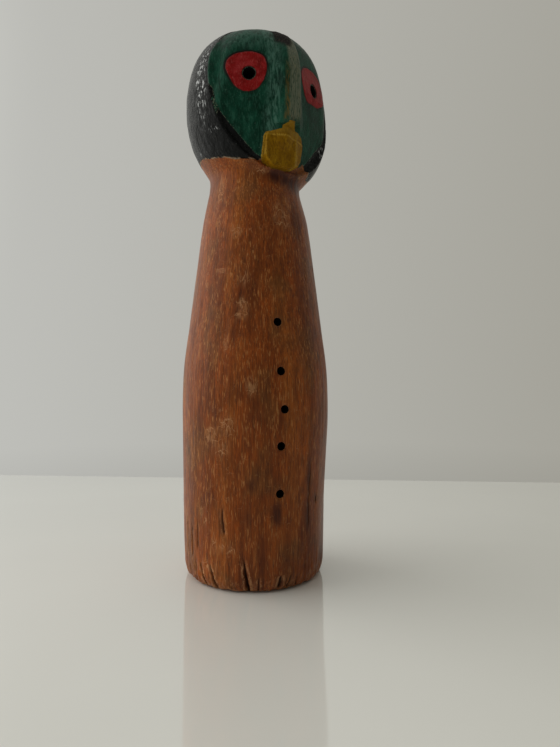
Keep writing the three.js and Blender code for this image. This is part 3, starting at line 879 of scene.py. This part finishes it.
def hood_material():
    """Glossy, lumpy black paint with grey brush marks, painted pale glints and a chipped edge."""
    n = material_nodes("black_paint")
    cloud = n.noise((0.16, 0.16, 0.08), 4, 0.6)
    strokes = n.noise((1.5, 1.5, 0.16), 3, 0.55)
    bumps = n.noise((0.42, 0.42, 0.34), 4, 0.55)
    grit = n.noise((2.6, 2.6, 2.0), 2, 0.6, shift=(3, 1, 8))
    flecks = n.noise((1.2, 1.2, 0.5), 3, 0.6, shift=(2, 6, 1))
    edge, glint = n.value("edge"), n.value("glint")
    colour = n.ramp(cloud, [(0.3, rgb(8, 9, 10)), (0.55, rgb(14, 15, 16)), (0.75, rgb(26, 27, 28))])
    colour = n.tint(colour, rgb(36, 36, 36), n.band(strokes, 0.5, 0.72), 0.35)
    # Painted glints: grey specks where the lumps of the paint stand highest.
    colour = n.tint(colour, rgb(60, 60, 57), n.band(grit, 0.62, 0.68), n.band(bumps, 0.45, 0.6))
    # Painted glints: pale flecks in a band on one side of the black and a few spots elsewhere.
    colour = n.tint(colour, rgb(186, 188, 188), glint, n.band(flecks, 0.54, 0.62))
    chip = n.times(n.band(edge, 0.75, 0.15), n.band(bumps, 0.47, 0.56))
    colour = n.tint(colour, rgb(172, 150, 124), chip, 0.8)
    roughness = n.ramp(bumps, [(0.3, 0.18), (0.7, 0.34)])
    roughness = n.tint(roughness, grey(0.7), chip)
    normal = n.bumps((bumps, 0.9, 0.75), (grit, 0.16, 0.6), (strokes, 0.12, 0.4))
    return n.finish(colour, roughness, normal, specular=0.4, ior=1.24)


def face_material():
    """Brushed dark green paint, worn grey down the nose, with a black smudge and dark lines at the eyes."""
    n = material_nodes("green_paint")
    cloud = n.noise((0.2, 0.2, 0.14), 4, 0.6)
    strokes = n.noise((1.1, 1.1, 0.26), 4, 0.65, 0.5, rotation=(0, 14, 0))
    hairs = n.noise((3.8, 3.8, 0.5), 2, 0.6, rotation=(0, 8, 0))
    grit = n.noise((2.2, 2.2, 1.8), 3, 0.6)
    edge, outline, nose, smudge, light, line = (
        n.value(name) for name in ("edge", "outline", "nose", "smudge", "light", "line"))
    colour = n.ramp(cloud, [(0.32, rgb(0, 34, 22)), (0.5, rgb(2, 52, 36)), (0.68, rgb(18, 72, 54))])
    colour = n.tint(colour, rgb(42, 92, 74), n.band(strokes, 0.48, 0.72), 0.6)
    colour = n.tint(colour, rgb(2, 32, 22), n.band(strokes, 0.42, 0.26), 0.5)
    colour = n.tint(colour, rgb(84, 124, 106), n.band(hairs, 0.56, 0.75), 0.3)
    # Painted highlight beside the nose and over the brow, and slightly paler green on the right cheek.
    colour = n.tint(colour, rgb(74, 112, 98), light, n.band(strokes, 0.34, 0.66))
    colour = n.tint(colour, rgb(130, 150, 138), n.band(grit, 0.67, 0.73), 0.4)
    worn = n.times(nose, n.band(hairs, 0.28, 0.5))
    bare_ridge = n.ramp(n.noise((1.6, 1.6, 0.1), 3, 0.6),
                        [(0.3, rgb(82, 94, 76)), (0.55, rgb(108, 114, 96)), (0.75, rgb(132, 122, 88))])
    colour = n.tint(colour, bare_ridge, worn)
    colour = n.tint(colour, rgb(34, 31, 29), smudge, n.band(strokes, 0.85, 0.6))
    colour = n.tint(colour, rgb(112, 106, 98), smudge, n.band(grit, 0.6, 0.68))
    colour = n.tint(colour, rgb(88, 70, 28), line, n.band(hairs, 0.34, 0.68))
    colour = n.tint(colour, rgb(20, 12, 9), outline)
    chip = n.times(n.band(edge, 0.6, 0.1), n.band(grit, 0.5, 0.58))
    colour = n.tint(colour, rgb(150, 150, 130), chip, 0.6)
    roughness = n.ramp(strokes, [(0.3, 0.34), (0.7, 0.48)])
    roughness = n.tint(roughness, grey(0.85), smudge)
    normal = n.bumps((strokes, 0.3, 0.65), (hairs, 0.08, 0.5), (grit, 0.16, 0.4))
    return n.finish(colour, roughness, normal, specular=0.35, ior=1.26)


def eye_material():
    """Red paint in slanted strokes, dark at its outer edge and at the pupil."""
    n = material_nodes("red_paint")
    cloud = n.noise((0.3, 0.3, 0.28), 3, 0.55, shift=(1, 2, 3))
    strokes = n.noise((1.5, 1.5, 0.6), 4, 0.65, 0.4, rotation=(0, 48, 0))
    hairs = n.noise((4.4, 4.4, 1.4), 2, 0.6, rotation=(0, 55, 0))
    edge, rim = n.value("edge"), n.value("rim")
    colour = n.ramp(cloud, [(0.34, rgb(112, 6, 5)), (0.5, rgb(130, 12, 12)), (0.66, rgb(148, 34, 36))])
    colour = n.tint(colour, rgb(166, 66, 64), n.band(strokes, 0.5, 0.72), 0.7)
    colour = n.tint(colour, rgb(112, 10, 9), n.band(strokes, 0.42, 0.24), 0.6)
    colour = n.tint(colour, rgb(200, 112, 102), n.band(hairs, 0.6, 0.75), 0.3)
    colour = n.tint(colour, rgb(44, 8, 7), n.band(edge, 0.5, 0.02))
    colour = n.tint(colour, rgb(24, 6, 6), n.band(rim, 0.6, 0.05))
    roughness = n.ramp(strokes, [(0.3, 0.34), (0.7, 0.5)])
    normal = n.bumps((strokes, 0.22, 0.55), (hairs, 0.06, 0.4))
    return n.finish(colour, roughness, normal, specular=0.35, ior=1.26)


def beak_material():
    """Mustard yellow paint in short strokes, with brown showing through and painted highlights along its
    edges.
    """
    n = material_nodes("yellow_paint")
    cloud = n.noise((0.35, 0.35, 0.3), 3, 0.6)
    strokes = n.noise((1.6, 1.6, 0.7), 4, 0.65, 0.4, rotation=(0, -30, 0))
    specks = n.noise((2.8, 2.8, 2.2), 3, 0.65)
    high, edge, under = n.value("high"), n.value("edge"), n.value("under")
    colour = n.ramp(cloud, [(0.3, rgb(118, 80, 1)), (0.5, rgb(136, 96, 2)), (0.7, rgb(152, 112, 6))])
    colour = n.tint(colour, rgb(84, 56, 6), n.band(strokes, 0.5, 0.3), 0.85)
    colour = n.tint(colour, rgb(184, 150, 40), n.band(strokes, 0.55, 0.75), 0.5)
    colour = n.tint(colour, rgb(98, 54, 14), n.band(specks, 0.42, 0.3), 0.6)
    # Painted highlights along the beak's upper edge, left wall and right corner.
    colour = n.tint(colour, rgb(190, 154, 58), high, n.band(specks, 0.38, 0.56))
    colour = n.tint(colour, rgb(146, 116, 40), under, 0.4)
    colour = n.tint(colour, rgb(74, 56, 16), n.band(edge, 0.35, 0.0), 0.7)
    roughness = n.ramp(strokes, [(0.3, 0.4), (0.7, 0.6)])
    normal = n.bumps((strokes, 0.28, 0.65), (specks, 0.14, 0.5))
    return n.finish(colour, roughness, normal, specular=0.3, ior=1.26)


def hole_material():
    """Matt black paint that has run into the drilled holes."""
    n = material_nodes("hole_black")
    runs = n.noise((1.6, 1.6, 1.6), 4, 0.6)
    colour = n.ramp(runs, [(0.3, rgb(5, 4, 4)), (0.7, rgb(16, 12, 11))])
    roughness = n.ramp(runs, [(0.3, 0.7), (0.7, 0.9)])
    return n.finish(colour, roughness, n.bumps((runs, 0.15, 0.6)), specular=0.05)


def table_material():
    """Pale, glossy lacquered table top."""
    n = material_nodes("pale_table")
    cloud = n.noise((0.006, 0.006, 0.006), 3, 0.5)
    smear = n.noise((0.05, 0.02, 0.05), 4, 0.6)
    colour = n.ramp(cloud, [(0.3, rgb(234, 234, 228)), (0.7, rgb(240, 240, 234))])
    roughness = n.ramp(smear, [(0.3, 0.05), (0.7, 0.09)])
    normal = n.bumps((smear, 0.01, 0.1))
    return n.finish(colour, roughness, normal, specular=1.0, coat=1.0, coat_roughness=0.05)


MATERIALS = {
    "wood": wood_material(),
    "hood": hood_material(),
    "face": face_material(),
    "eye": eye_material(),
    "beak": beak_material(),
    "hole": hole_material(),
    "table": table_material(),
}

# ------------------------------------------------------------------ the wood


def wood_body():
    """The block of wood: carved, split and chipped low down, and sunk under the paint."""
    columns = WOOD_COLUMNS
    turns = crowded(columns, 0.3)
    levels = levels_between(
        (0, 10, 0.4), (10, 34, 0.8), (34, 146, 1.3), (146, 169, 0.55), (169, 174, 1.0), (174, 178, 0.25),
        (178, HEIGHT - 0.2, 1.6))
    azimuth, arc = np.meshgrid(turns, levels)
    base = surface(azimuth, arc)
    normal = surface_normal(azimuth, arc)
    radius, height = outline_at(arc)
    above_foot = smoothstep(arc, 0, 1.2)

    splits, crack_shade, lip_highlights = split_depth(azimuth, height, base)
    nicks = sum(deep * (1 - smoothstep(oval(azimuth, height, *shape), 0.2, 1.1)) for *shape, deep in NICKS)
    fibres = 0.035 * noise(base * np.array([1.6, 1.6, 0.05]), 71)
    fibres = fibres + 0.05 * noise(base * np.array([0.7, 0.7, 0.03]), 72)
    dents = 0.1 * np.clip(layered_noise(base / np.array([3.0, 3.0, 5.0]), 73) - 0.1, 0, 1)
    near_base = 1 - smoothstep(height, 0.5, 7)
    chips = 0.9 * near_base * np.clip(layered_noise(base / np.array([3.4, 3.4, 4.5]), 74) - 0.02, 0, 1)
    low_down = 1 - smoothstep(height, 4, 16)
    groove_width = 0.35
    groove = np.clip(groove_width - np.abs(noise(base / np.array([1.7, 1.7, 9.0]), 76)), 0, 1) / groove_width
    grooves = 0.3 * low_down * groove
    painted = smoothstep(np.maximum(head_zone(base), beak_zone(base)), 0.9, 1.7)
    bare = 1 - painted
    cut = (dents + chips + splits + nicks + grooves) * above_foot
    move = (fibres - cut) * bare - PAINT_BED * painted
    points = base + normal * move[..., None]
    points[0, :, 2] = 0
    points[..., 2] = np.maximum(points[..., 2], 0)

    values = {
        # Painted shade in the splits and nicks, darkest where they are deepest.
        "crack_shade": np.maximum(crack_shade, 0.5 * smoothstep(nicks, 0.1, 0.3)) * bare,
        "stain_and_shadow": spots(azimuth, height, STAINS_AND_SHADOW),
        # Rubbed patches, with the painted highlights on the neck and along the lips of the splits.
        "rub_and_highlight": np.maximum(spots(azimuth, height, RUBS_AND_HIGHLIGHTS), lip_highlights),
        # Chipped, worn wood near the base, and a paler band along the bottom edge: painted light over the
        # shade where the figure meets the table.
        "worn": np.maximum(near_base * 0.5 * smoothstep(layered_noise(base / 4.0, 75), -0.2, 0.5),
                           0.6 * (1 - smoothstep(height, 0.3, 1.8))),
    }
    rows = points.shape[0]
    faces = grid_quads(rows, columns, wrap=True).tolist()
    top = points.reshape(-1, 3)
    foot_shares = [0.86, 0.6, 0.3]  # rings on the flat base, as shares of its edge
    foot = [points[0] * np.array([share, share, 1]) for share in foot_shares]
    crown_point = surface(np.zeros(1), np.full(1, CROWN)) - [0, 0, 0.3]
    vertices = np.concatenate([top, *foot, np.zeros((1, 3)), crown_point])
    count = rows * columns
    rings = [0] + [count + n * columns for n in range(len(foot_shares))]
    for upper, lower in zip(rings, rings[1:]):
        for n in range(columns):
            beside = (n + 1) % columns
            faces.append((lower + n, lower + beside, upper + beside, upper + n))
    centre, crown = len(vertices) - 2, len(vertices) - 1
    for n in range(columns):
        beside = (n + 1) % columns
        faces.append((centre, rings[-1] + beside, rings[-1] + n))
        faces.append((crown, count - columns + n, count - columns + beside))
    extra = len(vertices) - count
    values = {key: np.concatenate([v.ravel(), np.zeros(extra)]) for key, v in values.items()}
    return new_object("whittled_wood", vertices, faces, MATERIALS["wood"], values)


def cut_holes(piece, cutters):
    """Removes every cutter's shape from a piece."""
    for cutter in cutters:
        cut = piece.modifiers.new("hole", "BOOLEAN")
        cut.operation = "DIFFERENCE"
        cut.solver = "EXACT"
        cut.object = cutter
        bpy.context.view_layer.objects.active = piece
        bpy.ops.object.modifier_apply(modifier=cut.name)
    for cutter in cutters:
        bpy.data.objects.remove(cutter)


wood = wood_body()
cutters = []
linings = []
for number, (azimuth, height) in enumerate(BUTTONS, start=1):
    out = heading(azimuth)
    mouth = find_mouth(0.0, height, azimuth)
    cutters.append(drilled(f"drill_{number}", out, mouth, BUTTON_RADIUS, BUTTON_DEPTH, 0.14))
    linings.append((lining(f"blackened_button_{number}", out, mouth, BUTTON_RADIUS, BUTTON_DEPTH, 0.3),
                    f"button_black_{number}"))
for side, label in ((-1, "left"), (1, "right")):
    out, mouth = PUPIL_AXES[side], PUPIL_MOUTHS[side]
    cutters.append(drilled(f"drill_{label}", out, mouth, PUPIL_RADIUS, PUPIL_DEPTH, 0.02))
    linings.append((lining(f"blackened_pupil_{label}", out, mouth, PUPIL_RADIUS, PUPIL_DEPTH, 0.1),
                    f"pupil_black_{label}"))
cut_holes(wood, cutters)
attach(wood, "root")
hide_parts("carved_wood_body")
for piece, node in linings:
    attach(piece, "root")
    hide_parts(node)

# ------------------------------------------------------------------ the paint


def paint_relief(size, height, seed):
    """Small unevenness of a paint film."""
    return lambda points: height * layered_noise(points / np.asarray(size), seed)


def hood_zone(points):
    """Black paint: behind the rim, running a little way under the green."""
    return np.minimum(head_zone(points), 0.9 - rim_zone(points))


def hood_glints(points, _):
    """Painted glints: pale flecks over the black in a tall band on one side, and a few spots elsewhere."""
    azimuth = np.degrees(np.arctan2(points[:, 0], -points[:, 1]))
    band = 1 - smoothstep(np.abs(azimuth + 70 - 5 * wobble(points, 9, 96)), 2, 8)
    band = band * smoothstep(points[:, 2], 172, 190) * (1 - smoothstep(points[:, 2], 202, 211))
    return np.maximum(band, 0.6 * smoothstep(wobble(points, 6, 92), 0.3, 0.55))


def face_zone(points):
    zone = np.minimum(head_zone(points) + 0.3, rim_zone(points))
    return np.minimum(zone, outside_pupils(points))


def eye_paint_zone(side):
    return lambda points: np.minimum(eye_zone(points, side), outside_pupils(points) - 0.05)


def eye_outline(points, _):
    """Strength of the thin dark line round each eye, which is strongest above it."""
    total = np.zeros(points.shape[0])
    sideways, _, height = in_face_frame(points)
    for side in (-1, 1):
        outside = -eye_zone(points, side)
        upper = smoothstep(height - EYE_HEIGHT + 0.4 * (sideways - pupil_place(side)) * side, -4, 2)
        line = 1 - smoothstep(np.abs(outside - 0.1), 0.15, 0.5)
        total = np.maximum(total, line * (0.35 + 0.65 * upper))
    return total


def nose_wear(points, _):
    """Where the green is worn off the front of the nose."""
    sideways, _, height = in_face_frame(points)
    off = np.abs(sideways - NOSE_OFFSET - 0.6 + 0.5 * wobble(points, 6, 81))
    along = smoothstep(height, 174, 178) * (1 - smoothstep(height, 209, 214))
    return (1 - smoothstep(off, 2.0, 3.0)) * along


def crown_smudge(points, _):
    """The black that runs over the crown and down above the nose."""
    sideways, _, height = in_face_frame(points)
    off = np.hypot((sideways + 0.6) / 4.6, (height - 209.5) / 6.5)
    tongue = 1 - smoothstep(off + 0.25 * wobble(points, 2.5, 82), 0.6, 1.05)
    crown = smoothstep(height + 0.3 * wobble(points, 3, 84), 213.4, 214.4)
    return np.maximum(tongue, crown)


def highlights_and_paler_green(points, _):
    """Painted highlight beside the nose and over the brow on the viewer's left, and slightly paler green on
    the right cheek.
    """
    sideways, _, height = in_face_frame(points)
    flank = 1 - smoothstep(np.abs(sideways + 5.2), 0.8, 3.4)
    brow = (1 - smoothstep(np.abs(height - 208), 2, 7)) * (1 - smoothstep(np.abs(sideways + 11), 4, 10))
    right = smoothstep(sideways, 3.5, 8) * 0.1
    return np.clip(flank * 0.8 + brow * 0.5 + right, 0, 1)


def nose_line(points, _):
    """The ochre line along the left edge of the nose."""
    sideways, _, height = in_face_frame(points)
    off = np.abs(sideways - NOSE_OFFSET + 2.5 + 0.4 * wobble(points, 5, 83))
    along = smoothstep(height, 174, 178) * (1 - smoothstep(height, 192, 200))
    return (1 - smoothstep(off, 0.3, 0.9)) * along


def beak_edge_highlights(points, _):
    """Painted highlights along the upper edge, the left wall and the right corner."""
    sideways, _, height = in_face_frame(points)
    upper = 0.7 - 0.7 * smoothstep(np.abs(height - BEAK_EDGE + 0.04 * (sideways + 7)), 0.15, 0.5)
    left = 1 - smoothstep(sideways + 7, 0, 0.7)
    right = (1 - smoothstep(np.abs(sideways - BEAK_CORNER - 0.6), 0.3, 1.2)) * 0.5
    return np.maximum(np.maximum(upper, left * 0.8), right)


def beak_top(points, _):
    return smoothstep(points[:, 2], BEAK_EDGE, BEAK_EDGE + 1)


def edge_distance(_, depth_in):
    return depth_in


def hood_film():
    spacing = 0.46
    return film(
        "hood_of_black_paint", hood_zone, (-180, 180), levels_between((156, HEIGHT, spacing)), spacing,
        0.1, 0.45, 0.2, paint_relief((1.5, 1.5, 1.9), 0.07, 91), MATERIALS["hood"],
        {"edge": edge_distance, "glint": hood_glints},
    )


def face_film():
    """Its rows lie close together at the cut tip of the nose."""
    spacing = 0.34
    levels = levels_between((156, 172, spacing), (172, 175, 0.25), (175, 177, 0.08), (177, HEIGHT, spacing))
    return film(
        "face_of_green_paint", face_zone, (-72, 80), levels, spacing,
        0.16, 0.35, 0.15, paint_relief((0.9, 0.9, 3.0), 0.045, 93), MATERIALS["face"],
        {"edge": edge_distance, "outline": eye_outline, "nose": nose_wear, "smudge": crown_smudge,
         "light": highlights_and_paler_green, "line": nose_line},
    )


def beak_film():
    spacing = 0.2
    levels = levels_between((156, 175, spacing), (175, 177, 0.07), (177, 180, spacing))
    return film(
        "beak_of_yellow_paint", beak_zone, (-32, 40), levels, spacing,
        0.24, 0.3, 0.1, paint_relief((0.9, 0.9, 1.2), 0.05, 94), MATERIALS["beak"],
        {"edge": edge_distance, "high": beak_edge_highlights, "under": beak_top},
    )


def eye_film(side, label):
    spacing = 0.2
    middle = FACE_AZIMUTH + math.degrees(math.atan2(pupil_place(side), 22))
    return film(
        f"eye_of_red_paint_{label}", eye_paint_zone(side), (middle - 27, middle + 27),
        levels_between((181, 206, spacing)), spacing,
        0.27, 0.3, 0.05, paint_relief((1.1, 1.1, 0.8), 0.04, 95), MATERIALS["eye"],
        {"edge": lambda points, _: np.clip(eye_zone(points, side), 0, None),
         "rim": lambda points, _: np.clip(outside_pupils(points), 0, None)},
    )


for piece, slot, node in [
    (hood_film(), "black_paint", "black_hood_paint"),
    (face_film(), "green_paint", "green_face_paint"),
    (beak_film(), "yellow_paint", "yellow_beak_paint"),
    (eye_film(-1, "left"), "red_paint", "red_eye_paint_left"),
    (eye_film(1, "right"), "red_paint", "red_eye_paint_right"),
]:
    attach(piece, "root")
    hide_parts(node)

# ------------------------------------------------------------------ table, light and camera, in metres

CAMERA_AZIMUTH = -25
CAMERA_DISTANCE = 0.234
CAMERA_HEIGHT = 0.0812
CAMERA_SIDESTEP = 0.0102  # the figure stands left of the middle of the picture
FOCAL_LENGTH = 27.04
VIEW = -Vector(heading(CAMERA_AZIMUTH))
VIEW_RIGHT = Vector(heading(CAMERA_AZIMUTH + 90))

TABLE_FAR = 0.2  # its far edge lies this far behind the figure
TABLE_NEAR = 1.2
TABLE_HALF_WIDTH = 1.4
TABLE_THICKNESS = 0.03
TABLE_TURN = -0.073  # radians away from square to the view
TABLE_GAP = 0.00005

WINDOW_AZIMUTH = CAMERA_AZIMUTH - 94
WINDOW_DIRECTION = Vector((*heading(WINDOW_AZIMUTH)[:2], 0.29)).normalized()
WINDOW_STRENGTH = 1.2
CEILING_AZIMUTH = CAMERA_AZIMUTH - 20
DAYLIGHT = (1.0, 0.99, 0.97)


def table():
    """A wide slab with rounded edges."""
    bpy.ops.mesh.primitive_cube_add(size=1)
    slab = bpy.context.object
    slab.name = "table_top"
    slab.dimensions = (2 * TABLE_HALF_WIDTH, TABLE_FAR + TABLE_NEAR, TABLE_THICKNESS)
    slab.location = VIEW * ((TABLE_FAR - TABLE_NEAR) / 2)
    slab.location.z = -TABLE_THICKNESS / 2 - TABLE_GAP
    slab.rotation_euler = (0, 0, math.radians(CAMERA_AZIMUTH) + TABLE_TURN)
    bpy.ops.object.transform_apply(location=False, rotation=False, scale=True)
    edge = slab.modifiers.new("edge", "BEVEL")
    edge.width = 0.0025
    edge.segments = 4
    slab.data.materials.append(MATERIALS["table"])


def area_light(name, azimuth, elevation, distance, width, height, power):
    """A soft light at a compass place round the figure, aimed at its middle."""
    lamp = bpy.data.lights.new(name, "AREA")
    lamp.shape = "RECTANGLE"
    lamp.size = width
    lamp.size_y = height
    lamp.energy = power
    lamp.color = DAYLIGHT
    made = bpy.data.objects.new(name, lamp)
    level = math.cos(math.radians(elevation))
    out = Vector(heading(azimuth)) * level + Vector((0, 0, math.sin(math.radians(elevation))))
    target = Vector((0, 0, 0.11))
    made.location = target + out * distance
    made.rotation_euler = (-out).to_track_quat("-Z", "Y").to_euler()
    made.visible_glossy = False
    bpy.context.scene.collection.objects.link(made)


def room():
    """A pale room with a soft bright window, lighter overhead, dimmer behind the camera and low down."""
    world = bpy.data.worlds.new("pale_room")
    bpy.context.scene.world = world
    n = Nodes(world, "Generated")

    def facing(direction, low, high, at_low, at_high, shape="LINEAR"):
        """A value that passes from at_low to at_high as a ray turns towards a direction."""
        dot = n.add("ShaderNodeVectorMath", {0: n.place, 1: direction}, operation="DOT_PRODUCT")
        return n.remap(dot.outputs["Value"], low, high, at_low, at_high, shape)

    side = facing(VIEW_RIGHT, -0.45, 0.45, 0.0, 1.0)
    depth = facing(VIEW, -0.6, 0.75, 0.5, 1.0)
    walls = n.mix(side, rgb(190, 190, 185), rgb(165, 163, 154))
    above = facing((0, 0, 1), 0.6, 1.0, 1.0, 1.4)
    foot = facing((0, 0, 1), -0.19, -0.12, 0.9, 1.0)
    window = facing(WINDOW_DIRECTION, 0.5, 1.0, 0.0, WINDOW_STRENGTH, "SMOOTHSTEP")
    strength = n.math("ADD", n.times(n.times(depth, above), foot), window)
    n.fill(n.tree.nodes["Background"], {"Color": walls, "Strength": strength})


def camera():
    lens = bpy.data.cameras.new("photo_view")
    lens.lens = FOCAL_LENGTH
    lens.sensor_width = 36
    lens.clip_start = 0.01
    made = bpy.data.objects.new("photo_view", lens)
    made.location = -VIEW * CAMERA_DISTANCE + VIEW_RIGHT * CAMERA_SIDESTEP + Vector((0, 0, CAMERA_HEIGHT))
    made.rotation_euler = (math.radians(90), 0, math.radians(CAMERA_AZIMUTH))
    bpy.context.scene.collection.objects.link(made)
    bpy.context.scene.camera = made


table()
room()
camera()
area_light("window", WINDOW_AZIMUTH, 16, 1.15, 1.4, 1.3, 10.5)
area_light("ceiling", CEILING_AZIMUTH, 78, 1.4, 1.2, 1.2, 1.2)
bpy.context.scene.view_settings.view_transform = "Standard"
